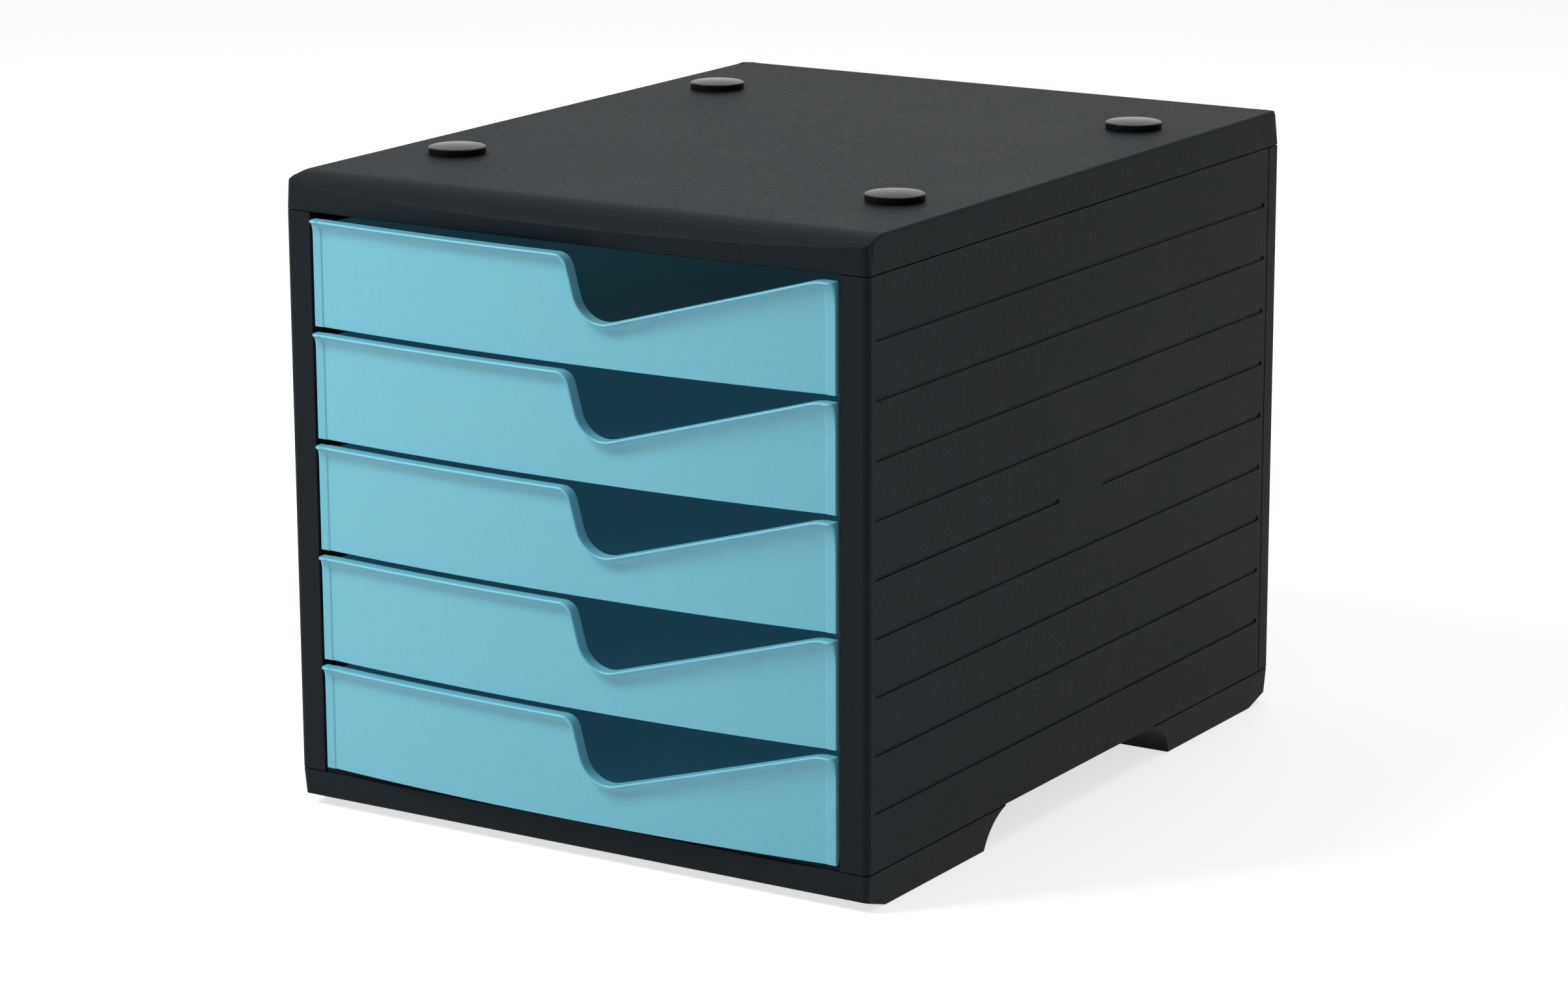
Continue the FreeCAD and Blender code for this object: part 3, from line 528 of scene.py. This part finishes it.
@dataclass
class DrawerFront:
    """A bowed drawer front whose rim follows a finger scoop.

    Attributes:
        half: Half its width.
        height: Its height.
        wall: Its thickness.
        bow: How far its middle stands forward of its ends.
        strip: Flat strip at each end.
        land: How far that strip stands proud of the bow's end.
        land_edge: Width of the slope up to it.
        reach: How far the rim stands proud.
        lip: Thickness of the rim at its front edge.
        rim_end: Radius of the rim's ends in plan.
        rim_end_turns: Angles of that radius, in degrees, that get a station.
        crisp: Radius of the front's own ends in plan and of its lower edge.
        back_round: Radius of the rim's back edge.
        lip_round: Radius from the rim's top to its front edge.
        lip_edge: Width of the rim's lower edge.
        cove_turns: Angles of the hollow under the rim, in degrees, that get a row.
        strip_steps: Stations at the strip's inner side, measured from it towards the middle.
        step: Distance between stations on a straight run.
        corner_step: Angle between stations in a corner, degrees.
        clearance: Least distance from a corner to the stations of an end.
        deepening: How quickly a hollow reaches its depth along a run, as a power.
        corners: The rim's corners from left to right, across and up, with their radii.
        coves: Depth of the hollow under the rim at the start and end of each straight run.
    """

    half: float = 123.5 * MM
    height: float = 44.0 * MM
    wall: float = 2.5 * MM
    bow: float = 6.0 * MM
    strip: float = 4.5 * MM
    land: float = 0.4 * MM
    land_edge: float = 0.6 * MM
    reach: float = 3.2 * MM
    lip: float = 0.9 * MM
    rim_end: float = 2.0 * MM
    rim_end_turns: tuple[float, ...] = (42, 55, 68, 90)
    crisp: float = 0.35 * MM
    back_round: float = 0.4 * MM
    lip_round: float = 0.7 * MM
    lip_edge: float = 0.12 * MM
    cove_turns: tuple[float, ...] = (8, 16, 24, 32, 40, 48, 56, 64, 72, 80, 88)
    strip_steps: tuple[float, ...] = (-0.75 * MM, -0.6 * MM, -0.5 * MM, -0.1 * MM, 0.0, 0.2 * MM)
    step: float = 2.6 * MM
    corner_step: float = 6.0
    clearance: float = 0.5 * MM
    deepening: float = 2.5
    corners: tuple[tuple[float, float, float], ...] = (
        (5.3 * MM, 44.0 * MM, 6.5 * MM),
        (13.1 * MM, 15.2 * MM, 13.0 * MM),
        (116.0 * MM, 44.0 * MM, 22.0 * MM))
    coves: tuple[tuple[float, float], ...] = (
        (6.6 * MM, 5.6 * MM), (3.0 * MM, 3.0 * MM), (3.6 * MM, 17.0 * MM), (15.0 * MM, 12.0 * MM))

    def face(self, across: float) -> float:
        """Gives how far back the bowed face lies.

        Args:
            across: The place across the front, 0 in the middle.

        Returns:
            The distance back from the line that joins the bow's ends.
        """
        flat = self.half - self.strip
        if abs(across) >= flat:
            return -self.land * min(1.0, (abs(across) - flat) / self.land_edge)
        radius = (flat ** 2 + self.bow ** 2) / (2 * self.bow)
        return radius - self.bow - math.sqrt(radius ** 2 - across ** 2)

    def turned(self, across: float, radius: float) -> float:
        """Gives how far an end's rounding in plan takes a face back.

        Args:
            across: The place across the front, 0 in the middle.
            radius: Radius of the rounding.

        Returns:
            The distance back.
        """
        inset = max(0.0, radius - (self.half - abs(across)))
        return radius - math.sqrt(max(0.0, radius ** 2 - inset ** 2))

    def end_steps(self) -> list[float]:
        """Lists where the roundings in plan and the strip need a station.

        Returns:
            Distances from an end.
        """
        fine = [self.crisp * (1 - math.cos(angle)) for angle in quarter(3)]
        broad = [self.rim_end * (1 - math.cos(math.radians(turn))) for turn in self.rim_end_turns]
        return fine + broad + [self.strip + offset for offset in self.strip_steps]

    def stations(self) -> list[Station]:
        """Lays the stations along the rim: straight runs, and arcs in the corners.

        Returns:
            The stations from left to right.
        """
        knots = [Vector((-self.half, self.height))]
        knots += [Vector((across, up)) for across, up, _ in self.corners]
        knots += [Vector((self.half, self.height))]
        radii = [0.0] + [radius for *_, radius in self.corners] + [0.0]
        found: list[Station] = []

        def add(place: Vector, heading: Vector, cove: float) -> None:
            """Adds a station at a place where the rim runs along a heading."""
            found.append(Station(place, Vector((heading.y, -heading.x)), cove))

        for run, (start, end) in enumerate(zip(knots, knots[1:])):
            heading = (end - start).normalized()
            reach = [0.0, 0.0]
            for side, knot in enumerate((run, run + 1)):
                if radii[knot]:
                    other = (knots[knot + 1] - knots[knot]).normalized()
                    turn = (knots[knot] - knots[knot - 1]).normalized().angle(other)
                    reach[side] = radii[knot] * math.tan(turn / 2)
            first, last = start + heading * reach[0], end - heading * reach[1]
            length = (last - first).length
            count = max(FEWEST_STEPS, round(length / self.step))
            marks = [length * number / count for number in range(count + 1)]
            if run == 0:
                plain = [mark for mark in marks if mark > self.strip + self.step / 2]
                marks = self.end_steps() + plain
            if run == len(knots) - 2:
                marks = [length - mark for mark in self.end_steps() if mark < length - self.clearance]
                marks = [0.0, *reversed(marks)]
            shallow, deep = self.coves[run]
            for mark in marks:
                share = mark / length
                ease = 1 - (1 - share) ** self.deepening
                add(first + heading * mark, heading, shallow + (deep - shallow) * ease)
            if run == len(knots) - 2:
                break
            onward = (knots[run + 2] - end).normalized()
            side = 1.0 if heading.cross(onward) < 0 else -1.0
            centre = last + Vector((heading.y, -heading.x)) * side * radii[run + 1]
            turn = heading.angle(onward)
            steps = max(FEWEST_STEPS, round(math.degrees(turn) / self.corner_step))
            for number in range(1, steps):
                share = number / steps
                swing = -side * turn * share
                way = Matrix.Rotation(swing, 2) @ heading
                place = centre - Vector((way.y, -way.x)) * side * radii[run + 1]
                add(place, way, deep + (self.coves[run + 1][0] - deep) * share)
        return found

    def section(self, station: Station) -> list[Vector]:
        """Lists the points round the front at one station, from its back edge over the rim.

        Args:
            station: The place along the rim.

        Returns:
            Points in the drawer's own frame, from the lower back edge to the lower front edge.
        """
        points = []

        def add(depth: float, back: float, proud: float) -> None:
            """Adds a point at a depth under the rim, so far behind or proud of the face."""
            place = station.place + station.inward * depth
            plain = self.face(place.x) + self.turned(place.x, self.crisp)
            rim = self.face(place.x) - self.reach + self.turned(place.x, self.rim_end)
            points.append(Vector((place.x, plain + (rim - plain) * proud + back, place.y)))

        foot = station.place + station.inward * station.cove
        wall = self.face(foot.x) + self.wall
        points.append(Vector((foot.x, wall, 0.0)))
        for angle in quarter(2):
            place = station.place + station.inward * self.back_round * (1 - math.sin(angle))
            across = self.face(place.x) + self.wall - self.back_round * (1 - math.cos(angle))
            points.append(Vector((place.x, across, place.y)))
        for angle in quarter(5):
            add(self.lip_round * (1 - math.cos(angle)), self.lip_round * (1 - math.sin(angle)), 1.0)
        add(self.lip - self.lip_edge, 0.0, 1.0)
        add(self.lip, self.lip_edge, 1.0)
        for turn in self.cove_turns:
            angle = math.radians(turn)
            under = (station.cove - self.lip) * (1 - math.cos(angle))
            add(self.lip + under, 0.0, 1 - math.sin(angle))
        add(station.cove, 0.0, 0.0)
        face = self.face(foot.x) + self.turned(foot.x, self.crisp)
        for angle in quarter(3):
            up = self.crisp * (1 - math.sin(angle))
            points.append(Vector((foot.x, face + self.crisp * (1 - math.cos(angle)), up)))
        return points

    def build(self) -> bpy.types.Object:
        """Builds the front from a grid laid over its sections.

        Returns:
            The closed front.
        """
        sections = [self.section(station) for station in self.stations()]
        columns, rows = len(sections), len(sections[0])
        bpy.ops.object.select_all(action="DESELECT")
        bpy.ops.mesh.primitive_grid_add(x_subdivisions=columns - 1, y_subdivisions=rows - 1, size=1.0)
        front = bpy.context.object
        for vertex in front.data.vertices:
            column = round((vertex.co.x + 0.5) * (columns - 1))
            row = round((vertex.co.y + 0.5) * (rows - 1))
            vertex.co = sections[column][row]
        bpy.ops.object.mode_set(mode="EDIT")
        bpy.ops.mesh.select_all(action="DESELECT")
        bpy.ops.object.mode_set(mode="OBJECT")
        floor = {vertex.index for vertex in front.data.vertices if vertex.co.z < WELD}
        for edge in front.data.edges:
            edge.select = all(index in floor for index in edge.vertices)
        bpy.ops.object.mode_set(mode="EDIT")
        bpy.ops.mesh.select_mode(type="EDGE")
        bpy.ops.mesh.bridge_edge_loops()
        bpy.ops.mesh.select_all(action="DESELECT")
        bpy.ops.mesh.select_non_manifold()
        bpy.ops.mesh.edge_face_add()
        bpy.ops.mesh.select_all(action="SELECT")
        bpy.ops.mesh.normals_make_consistent(inside=False)
        bpy.ops.object.mode_set(mode="OBJECT")
        return front


@dataclass
class DrawerTray:
    """The tray behind a drawer front: floor, sides, back and stop lugs.

    Attributes:
        half: Half its outer width.
        front: Where its sides meet the front.
        back: Its outer back face.
        height: Its height.
        wall: Its thickness.
        corner: Outer radius of its rear corners.
        corner_steps: Steps round such a corner.
        sill_cuts: Cuts along the floor's front edge, which follows the bow.
        edge: Radius of its edges.
        sharp: Edges that turn more than this many degrees are rounded.
        near: Vertices closer than this to an edge's place lie on it.
        lug_front: Where a stop lug begins.
        lug_lengths: A lug's length at its tip and at the tray.
        lug_reach: How far a lug stands out.
        lug_levels: A lug's lower and upper level.
        lug_edge: Radius of its edges.
        edge_steps: Steps across a rounded edge.
    """

    half: float = 120.0 * MM
    front: float = 1.25 * MM
    back: float = 335.0 * MM
    height: float = 42.0 * MM
    wall: float = 1.8 * MM
    corner: float = 5.0 * MM
    corner_steps: int = 8
    sill_cuts: int = 31
    edge: float = 0.35 * MM
    sharp: float = 50.0
    near: float = 1.0 * MM
    lug_front: float = 262.5 * MM
    lug_lengths: tuple[float, float] = (4.0 * MM, 16.0 * MM)
    lug_reach: float = 7.0 * MM
    lug_levels: tuple[float, float] = (4.0 * MM, 14.0 * MM)
    lug_edge: float = 0.4 * MM
    edge_steps: int = 2

    def on_sill(self, vertex: bmesh.types.BMVert) -> bool:
        """Tells whether a vertex lies on the floor's front edge."""
        return vertex.co.y < self.front + self.near and vertex.co.z < self.near

    def build(self, face: DrawerFront) -> bpy.types.Object:
        """Builds the tray from a box opened at the top and front.

        Args:
            face: The front that it meets.

        Returns:
            The tray with its lugs.
        """
        bpy.ops.object.select_all(action="DESELECT")
        middle = Vector((0.0, (self.front + self.back) / 2, self.height / 2))
        bpy.ops.mesh.primitive_cube_add(size=1.0)
        tray = bpy.context.object
        for vertex in tray.data.vertices:
            vertex.co = Vector((vertex.co.x * self.half * 2, vertex.co.y * (self.back - self.front),
                                vertex.co.z * self.height)) + middle
        shape = bmesh.new()
        shape.from_mesh(tray.data)
        opened = [side for side in shape.faces if side.normal.z > 0.9 or side.normal.y < -0.9]
        bmesh.ops.delete(shape, geom=opened, context="FACES")
        rear = [edge for edge in shape.edges
                if all(vertex.co.y > self.back - self.near for vertex in edge.verts)
                and abs(edge.verts[0].co.z - edge.verts[1].co.z) > self.near]
        bmesh.ops.bevel(shape, geom=rear, offset=self.corner, segments=self.corner_steps, profile=0.5,
                        affect="EDGES")
        sill = [edge for edge in shape.edges if all(self.on_sill(vertex) for vertex in edge.verts)]
        bmesh.ops.subdivide_edges(shape, edges=sill, cuts=self.sill_cuts)
        for vertex in shape.verts:
            if self.on_sill(vertex):
                vertex.co.y += face.face(vertex.co.x)
        shape.to_mesh(tray.data)
        shape.free()
        only(tray)
        walls = tray.modifiers.new("walls", "SOLIDIFY")
        walls.thickness = self.wall
        walls.offset = -1.0
        walls.use_even_offset = True
        bpy.ops.object.modifier_apply(modifier=walls.name)
        edges = tray.modifiers.new("edges", "BEVEL")
        edges.width = self.edge
        edges.segments = self.edge_steps
        edges.angle_limit = math.radians(self.sharp)
        bpy.ops.object.modifier_apply(modifier=edges.name)
        lugs = [self.lug(side) for side in (-1.0, 1.0)]
        only(tray)
        for lug in lugs:
            lug.select_set(True)
        bpy.ops.object.join()
        return tray

    def lug(self, side: float) -> bpy.types.Object:
        """Builds the stop lug of one side.

        Args:
            side: 1 for the right, -1 for the left.

        Returns:
            The lug.
        """
        bpy.ops.object.select_all(action="DESELECT")
        bpy.ops.mesh.primitive_cube_add(size=1.0)
        lug = bpy.context.object
        inner = self.half - self.wall / 2
        outer = self.half + self.lug_reach
        short, long = self.lug_lengths
        for vertex in lug.data.vertices:
            out = vertex.co.x > 0
            length = short if out else long
            vertex.co = Vector((side * (outer if out else inner),
                                self.lug_front + (length if vertex.co.y > 0 else 0.0),
                                self.lug_levels[1] if vertex.co.z > 0 else self.lug_levels[0]))
        only(lug)
        bpy.ops.object.mode_set(mode="EDIT")
        bpy.ops.mesh.select_all(action="SELECT")
        bpy.ops.mesh.normals_make_consistent(inside=False)
        bpy.ops.mesh.bevel(offset=self.lug_edge, segments=self.edge_steps)
        bpy.ops.object.mode_set(mode="OBJECT")
        return lug


@dataclass
class Drawers:
    """The stack of drawers with scooped fronts.

    Attributes:
        count: Drawers in the stack.
        lowest: Underside of the lowest drawer, metres.
        tier: Height from one drawer to the next, metres.
        face_line: Where the ends of the fronts lie, front to back, metres.
    """

    count: int = 5
    lowest: float = 18.0 * MM
    tier: float = 46.6 * MM
    face_line: float = -167.9 * MM

    def master(self) -> bpy.types.Object:
        """Models one drawer in its own frame.

        Returns:
            The drawer, front and tray in one mesh.
        """
        face = DrawerFront()
        front = face.build()
        tray = DrawerTray().build(face)
        only(front)
        tray.select_set(True)
        bpy.ops.object.join()
        smooth_faces(front, 30)
        return front

    def build(self, material: bpy.types.Material) -> None:
        """Builds every drawer from the top down.

        Args:
            material: Their finish.
        """
        master = self.master()
        for number in range(1, self.count + 1):
            node = "drawer_%d" % number
            piece = bpy.data.objects.new(node + "_moulding", master.data.copy())
            bpy.context.scene.collection.objects.link(piece)
            level = self.lowest + self.tier * (self.count - number)
            piece.data.transform(Matrix.Translation((0.0, self.face_line, level)))
            finish_piece(piece, material, node, node)
        bpy.data.objects.remove(master)


# --- Studio ----------------------------------------------------------------------------


@dataclass
class Studio:
    """Camera, lamps, floor and world.

    Attributes:
        eye: Where the camera stands.
        forward: Where it looks.
        right: Its right-hand side.
        lens: Its focal length, millimetres.
        sensor: Its sensor's width, millimetres.
        far: How far it sees, metres.
        aim: The point that the lamps face.
        floor_size: Length and width of the floor, metres.
        floor_tone: How much light the floor gives back.
        floor_roughness: Its roughness.
        floor_glow: How much the floor lights up to the camera's eye.
        fill: Strength of the even light from all round.
        ceiling: Heights of view between which a mirrored sky turns from white to dark.
    """

    eye: Vector = field(default_factory=lambda: Vector((1.0313, -1.6456, 0.5977)))
    forward: Vector = field(default_factory=lambda: Vector((-0.51738, 0.82105, -0.24122)))
    right: Vector = field(default_factory=lambda: Vector((0.84653, 0.53232, -0.0038)))
    lens: float = 108.16
    sensor: float = 36.0
    far: float = 50.0
    aim: Vector = field(default_factory=lambda: Vector((0.0, 0.0, 0.14)))
    floor_size: float = 12.0
    floor_tone: float = 0.7
    floor_roughness: float = 0.9
    floor_glow: float = 0.70
    fill: float = 0.24
    ceiling: tuple[float, float] = (0.3, 0.8)

    def camera(self) -> None:
        """Places the camera from its eye point and two of its axes."""
        data = bpy.data.cameras.new("camera")
        data.lens = self.lens
        data.sensor_width = self.sensor
        data.sensor_fit = "HORIZONTAL"
        data.clip_end = self.far
        camera = bpy.data.objects.new("camera", data)
        bpy.context.scene.collection.objects.link(camera)
        back = -self.forward.normalized()
        right = (self.right - self.right.dot(back) * back).normalized()
        up = back.cross(right)
        turn = Matrix((right, up, back)).transposed().to_4x4()
        camera.matrix_world = Matrix.Translation(self.eye) @ turn
        bpy.context.scene.camera = camera

    def lamp(self, name: str, place: Vector, size: tuple[float, float], power: float) -> None:
        """Adds a rectangular soft lamp that faces the box.

        Args:
            name: The lamp's name.
            place: Its middle.
            size: Width and height, metres.
            power: Watts.
        """
        data = bpy.data.lights.new(name, "AREA")
        data.shape = "RECTANGLE"
        data.size, data.size_y = size
        data.energy = power
        lamp = bpy.data.objects.new(name, data)
        bpy.context.scene.collection.objects.link(lamp)
        lamp.location = place
        lamp.rotation_euler = (self.aim - place).to_track_quat("-Z", "Y").to_euler()

    def lights(self) -> None:
        """Adds the lamps."""
        self.lamp("key", Vector((-1.2, -1.05, 1.25)), (0.55, 0.55), 11.2)
        self.lamp("high", Vector((-0.7, -0.95, 1.55)), (0.5, 0.5), 17.0)
        self.lamp("fill", Vector((1.15, -1.95, 0.50)), (0.9, 0.9), 1.5)
        self.lamp("overhead", Vector((0.1, 0.9, 1.9)), (1.4, 1.0), 8.0)

    def seen(self, tree: bpy.types.NodeTree, mirror: object = 1.0) -> bpy.types.NodeSocket:
        """Adds a factor that is 1 for what the camera sees, mirrored or not, and 0 for light.

        Args:
            tree: The tree that gets the factor.
            mirror: What a mirrored view counts for, a number or a socket.

        Returns:
            The factor's socket.
        """
        path = add_node(tree, "ShaderNodeLightPath")
        mirrored = math_node(tree, "MAXIMUM", path.outputs["Is Glossy Ray"],
                             path.outputs["Is Transmission Ray"])
        mirrored = math_node(tree, "MULTIPLY", mirrored, mirror)
        return math_node(tree, "MAXIMUM", path.outputs["Is Camera Ray"], mirrored)

    def world(self) -> None:
        """Lights the scene evenly and shows white to the camera, with a dark ceiling over it."""
        world = bpy.data.worlds.new("studio")
        bpy.context.scene.world = world
        world.use_nodes = True
        tree = world.node_tree
        background = tree.nodes["Background"]
        white = add_node(tree, "ShaderNodeMapRange", {"To Min": self.fill, "To Max": 1.0})
        way = add_node(tree, "ShaderNodeTexCoord")
        height = add_node(tree, "ShaderNodeSeparateXYZ")
        tree.links.new(way.outputs["Generated"], height.inputs["Vector"])
        low, high = self.ceiling
        ceiling = add_node(tree, "ShaderNodeMapRange",
                           {"From Min": low, "From Max": high, "To Min": 1.0, "To Max": 0.0})
        tree.links.new(height.outputs["Z"], ceiling.inputs["Value"])
        tree.links.new(self.seen(tree, ceiling.outputs["Result"]), white.inputs["Value"])
        tree.links.new(white.outputs["Result"], background.inputs["Strength"])
        background.inputs["Color"].default_value = (1.0, 1.0, 1.0, 1.0)

    def floor(self) -> None:
        """Lays the pale floor that the box stands on."""
        bpy.ops.object.select_all(action="DESELECT")
        bpy.ops.mesh.primitive_plane_add(size=self.floor_size, location=(0.0, 0.0, 0.0))
        floor = bpy.context.object
        floor.name = "floor"
        material = bpy.data.materials.new("floor_white")
        material.use_nodes = True
        tree = material.node_tree
        shader = tree.nodes["Principled BSDF"]
        shader.inputs["Base Color"].default_value = (*[self.floor_tone] * 3, 1.0)
        shader.inputs["Roughness"].default_value = self.floor_roughness
        shader.inputs["Specular IOR Level"].default_value = 0.0
        shader.inputs["Emission Color"].default_value = (1.0, 1.0, 1.0, 1.0)
        glow = math_node(tree, "MULTIPLY", self.seen(tree), self.floor_glow)
        tree.links.new(glow, shader.inputs["Emission Strength"])
        floor.data.materials.append(material)

    def build(self) -> None:
        """Builds the whole studio."""
        self.camera()
        self.lights()
        self.world()
        self.floor()
        bpy.context.scene.view_settings.view_transform = "Standard"


def main() -> None:
    """Builds and dresses the drawer box, then the studio around it."""
    logging.basicConfig(level=logging.INFO, format="%(name)s: %(message)s")
    groups = {"grain": moulded_grain(), "marks": handling_marks()}
    Housing().build(HOUSING_BLACK.material(groups))
    StackingDiscs().build(DISC_BLACK.material(groups))
    Drawers().build(DRAWER_TURQUOISE.material(groups))
    Studio().build()


if __name__ == "__main__":
    main()
